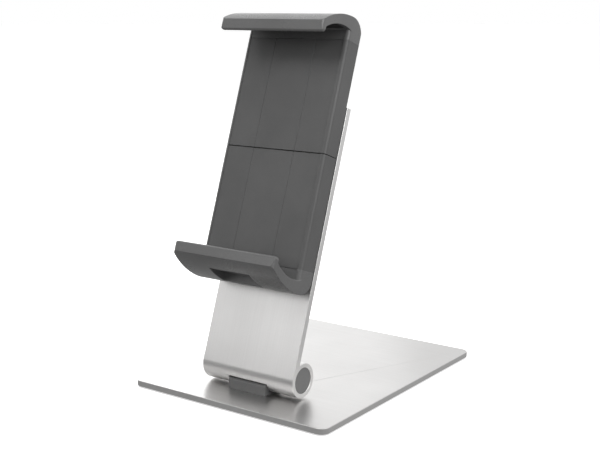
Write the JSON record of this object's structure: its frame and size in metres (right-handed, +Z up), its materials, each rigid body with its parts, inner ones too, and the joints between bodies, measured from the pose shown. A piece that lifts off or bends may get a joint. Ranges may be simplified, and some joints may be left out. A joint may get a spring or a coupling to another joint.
{
  "type": "tablet stand",
  "caption": "Desktop tablet stand: flat metal base, tilting metal arm and a turning plastic holder whose two claws slide apart against springs to grip a tablet.",
  "frame": {"origin": "centre of the underside of the base pad, on the desk", "axes": "+X to the right of a person facing the stand, +Y to the back, +Z up"},
  "size_m": [0.155, 0.188, 0.2463],
  "materials": {
    "brushed_plate": "brushed along the width",
    "brushed_aluminium": "fine satin, anodised",
    "holder_plastic": "fine matt grain",
    "claw_plastic": "fine matt grain",
    "cover_plastic": "fine matt grain",
    "dark_plastic": "matt",
    "cap_plastic": "matt",
    "soft_pad": "soft matt",
    "hardware": "zinc plated",
    "steel": "ground bright",
    "spring_steel": "dark, hardened",
    "bronze": "plain sintered bronze",
    "nylon": "natural, slightly glossy",
    "carrier_metal": "plain sheet"
  },
  "bodies": {
    "base": {"base_plate": "brushed_plate", "base_pad": "soft_pad", "hinge_block": "dark_plastic", "block_screws": "hardware", "hinge_shaft": "steel", "shaft_pin": "steel", "friction_washers": "bronze", "disc_springs": "spring_steel", "shaft_nuts": "hardware"},
    "arm": {"arm": "brushed_aluminium", "friction_bushes": "bronze", "barrel_caps": "cap_plastic", "pivot_bush": "nylon", "pivot_cover": "dark_plastic"},
    "holder": {"pivot_hub": "dark_plastic", "wave_spring": "spring_steel", "thrust_washer": "steel", "pivot_screw": "hardware", "hub_screws": "hardware", "carrier": "carrier_metal", "guide_rods": "steel", "pinion_axle": "steel", "upper_springs": "spring_steel", "lower_springs": "spring_steel"},
    "pinion": {"pinion": "nylon"},
    "upper_jaw": {"upper_shell": "holder_plastic", "upper_cover": "cover_plastic", "upper_claw": "claw_plastic", "upper_claw_pad": "soft_pad", "upper_rack": "nylon", "upper_screws": "hardware"},
    "lower_jaw": {"lower_shell": "holder_plastic", "lower_cover": "cover_plastic", "lower_claw": "claw_plastic", "lower_claw_pad": "soft_pad", "lower_rack": "nylon", "lower_screws": "hardware"}
  },
  "joints": [
    {"name": "arm_tilt", "type": "hinge", "parent": "base", "child": "arm", "pos_m": [0, -0.0584, 0.017], "axis": [-1, 0, 0], "range_deg": [-5, 70]},
    {"name": "holder_turn", "type": "hinge", "parent": "arm", "child": "holder", "pos_m": [0, -0.01043, 0.15023], "axis": [0, -0.9409, 0.3387], "continuous": true},
    {"name": "upper_jaw_slide", "type": "slide", "parent": "holder", "child": "upper_jaw", "axis": [0, 0.3387, 0.9409], "range_m": [0, 0.038], "stiffness_N_per_m": 120, "springref_m": -0.025, "deforming": ["upper_springs"]},
    {"name": "lower_jaw_slide", "type": "slide", "parent": "holder", "child": "lower_jaw", "axis": [0, -0.3387, -0.9409], "range_m": [0, 0.038], "stiffness_N_per_m": 120, "springref_m": -0.025, "deforming": ["lower_springs"]},
    {"name": "pinion_spin", "type": "hinge", "parent": "holder", "child": "pinion", "pos_m": [0, -0.03226, 0.15809], "axis": [0, -0.9409, 0.3387], "range_deg": [0, 363]}
  ],
  "couplings": [
    {"joint": "lower_jaw_slide", "follows": "upper_jaw_slide", "ratio": 1},
    {"joint": "pinion_spin", "follows": "upper_jaw_slide", "rad_per_m": 166.67}
  ]
}
